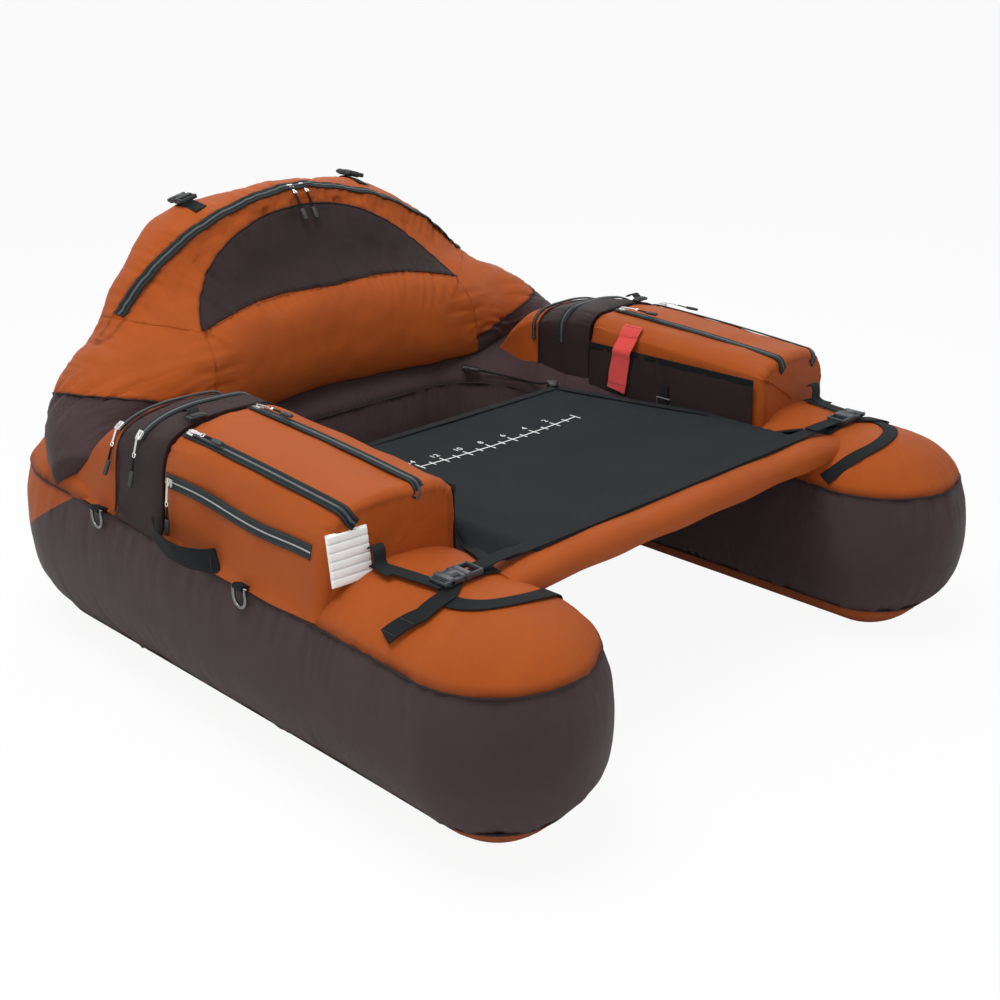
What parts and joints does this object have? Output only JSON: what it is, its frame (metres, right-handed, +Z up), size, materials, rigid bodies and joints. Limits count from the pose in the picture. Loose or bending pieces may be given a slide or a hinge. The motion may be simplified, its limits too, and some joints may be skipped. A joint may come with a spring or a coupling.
{
  "type": "float tube",
  "caption": "U-shaped inflatable float tube with padded backrest and storage dome, zipped armrest pockets, sling seat and lap apron with a ruler.",
  "frame": {"origin": "on the ground under the middle of the hull", "axes": "+Z up, -Y the way the sitter faces (the pontoon tips), +X the sitter's left"},
  "size_m": [1.215, 1.32, 0.6919],
  "materials": {
    "orange_cloth": "burnt orange coated nylon, soft sheen",
    "brown_cloth": "dark brown coated nylon, soft sheen",
    "deep_brown_cloth": "very dark brown nylon",
    "charcoal_cloth": "charcoal woven cloth with a white printed ruler",
    "black_webbing": "black ribbed webbing",
    "coral_webbing": "bright coral webbing",
    "zip_tape": "blue-grey zip tape and coil",
    "black_plastic": "moulded black acetal",
    "pale_foam": "white ribbed foam",
    "bladder_vinyl": "grey vinyl film",
    "bright_metal": "bright plated zip slider",
    "ring_steel": "darkened steel wire",
    "bar_aluminium": "plain tube"
  },
  "bodies": {
    "tube": {"hull_top_panel": "orange_cloth", "hull_side_band": "brown_cloth", "hull_bottom_panel": "orange_cloth", "main_bladder": "bladder_vinyl", "back_cushion": "orange_cloth", "storage_dome": "orange_cloth", "back_crescent_panel": "deep_brown_cloth", "back_wing_left": "orange_cloth", "back_wing_right": "orange_cloth", "dome_zip_tape": "zip_tape", "dome_strap_left": "black_webbing", "dome_strap_right": "black_webbing", "dome_buckle_left": "black_plastic", "dome_buckle_right": "black_plastic", "armrest_pocket_left": "orange_cloth", "armrest_pocket_right": "orange_cloth", "armrest_band_left": "deep_brown_cloth", "armrest_band_right": "deep_brown_cloth", "armrest_rear_pocket_left": "orange_cloth", "armrest_rear_pocket_right": "orange_cloth", "top_zip_tape_inner_left": "zip_tape", "top_zip_tape_inner_right": "zip_tape", "top_zip_tape_outer_left": "zip_tape", "top_zip_tape_outer_right": "zip_tape", "side_zip_tape_left": "zip_tape", "side_zip_tape_right": "zip_tape", "inner_pocket_left": "deep_brown_cloth", "inner_pocket_right": "deep_brown_cloth", "fly_patch": "pale_foam", "safety_flag": "coral_webbing", "d_ring_tab_front_left": "black_webbing", "d_ring_tab_front_right": "black_webbing", "d_ring_tab_rear_left": "black_webbing", "d_ring_tab_rear_right": "black_webbing", "carry_handle_left": "black_webbing", "carry_handle_right": "black_webbing", "apron_panel": "charcoal_cloth", "apron_webbing": "black_webbing", "spreader_sleeve": "orange_cloth", "spreader_bar": "bar_aluminium", "front_buckle_socket_left": "black_plastic", "front_buckle_socket_right": "black_plastic", "tip_strap_left": "black_webbing", "tip_strap_right": "black_webbing", "seat_sling": "deep_brown_cloth"},
    "top_zip_slider_inner_left": {"top_zip_slider_inner_left": "bright_metal"},
    "top_zip_slider_inner_right": {"top_zip_slider_inner_right": "bright_metal"},
    "top_zip_slider_outer_left": {"top_zip_slider_outer_left": "bright_metal"},
    "top_zip_slider_outer_right": {"top_zip_slider_outer_right": "bright_metal"},
    "side_zip_slider_left": {"side_zip_slider_left": "bright_metal"},
    "side_zip_slider_right": {"side_zip_slider_right": "bright_metal"},
    "dome_zip_slider_left": {"dome_zip_slider_left": "bright_metal"},
    "dome_zip_slider_right": {"dome_zip_slider_right": "bright_metal"},
    "d_ring_front_left": {"d_ring_front_left": "ring_steel"},
    "d_ring_front_right": {"d_ring_front_right": "ring_steel"},
    "d_ring_rear_left": {"d_ring_rear_left": "ring_steel"},
    "d_ring_rear_right": {"d_ring_rear_right": "ring_steel"},
    "front_buckle_plug_left": {"front_buckle_plug_left": "black_plastic"},
    "front_buckle_plug_right": {"front_buckle_plug_right": "black_plastic"}
  },
  "joints": [
    {"name": "top_zip_inner_left", "type": "slide", "parent": "tube", "child": "top_zip_slider_inner_left", "axis": [0, -0.9982, -0.0606], "range_m": [0, 0.31]},
    {"name": "top_zip_inner_right", "type": "slide", "parent": "tube", "child": "top_zip_slider_inner_right", "axis": [0, -0.9982, -0.0606], "range_m": [0, 0.31]},
    {"name": "top_zip_outer_left", "type": "slide", "parent": "tube", "child": "top_zip_slider_outer_left", "axis": [0, -0.9982, -0.0606], "range_m": [0, 0.31]},
    {"name": "top_zip_outer_right", "type": "slide", "parent": "tube", "child": "top_zip_slider_outer_right", "axis": [0, -0.9982, -0.0606], "range_m": [0, 0.31]},
    {"name": "side_zip_left", "type": "slide", "parent": "tube", "child": "side_zip_slider_left", "axis": [0, -0.9993, -0.0376], "range_m": [0, 0.31]},
    {"name": "side_zip_right", "type": "slide", "parent": "tube", "child": "side_zip_slider_right", "axis": [0, -0.9993, -0.0376], "range_m": [0, 0.31]},
    {"name": "dome_zip_left", "type": "hinge", "parent": "tube", "child": "dome_zip_slider_left", "pos_m": [0, 0.42206, 0.13409], "axis": [0, 0.9962, -0.0872], "range_deg": [0, 28]},
    {"name": "dome_zip_right", "type": "hinge", "parent": "tube", "child": "dome_zip_slider_right", "pos_m": [0, 0.42206, 0.13409], "axis": [0, -0.9962, 0.0872], "range_deg": [0, 28]},
    {"name": "ring_front_left", "type": "hinge", "parent": "tube", "child": "d_ring_front_left", "pos_m": [0.5955, -0.158, 0.28194], "axis": [0, -1, 0], "range_deg": [0, 150]},
    {"name": "ring_front_right", "type": "hinge", "parent": "tube", "child": "d_ring_front_right", "pos_m": [-0.5955, -0.158, 0.28194], "axis": [0, 1, 0], "range_deg": [0, 150]},
    {"name": "ring_rear_left", "type": "hinge", "parent": "tube", "child": "d_ring_rear_left", "pos_m": [0.5955, 0.221, 0.29206], "axis": [0, -1, 0], "range_deg": [0, 150]},
    {"name": "ring_rear_right", "type": "hinge", "parent": "tube", "child": "d_ring_rear_right", "pos_m": [-0.5955, 0.221, 0.29206], "axis": [0, 1, 0], "range_deg": [0, 150]},
    {"name": "front_buckle_left", "type": "slide", "parent": "tube", "child": "front_buckle_plug_left", "axis": [-1, 0, 0], "range_m": [0, 0.03]},
    {"name": "front_buckle_right", "type": "slide", "parent": "tube", "child": "front_buckle_plug_right", "axis": [1, 0, 0], "range_m": [0, 0.03]}
  ]
}
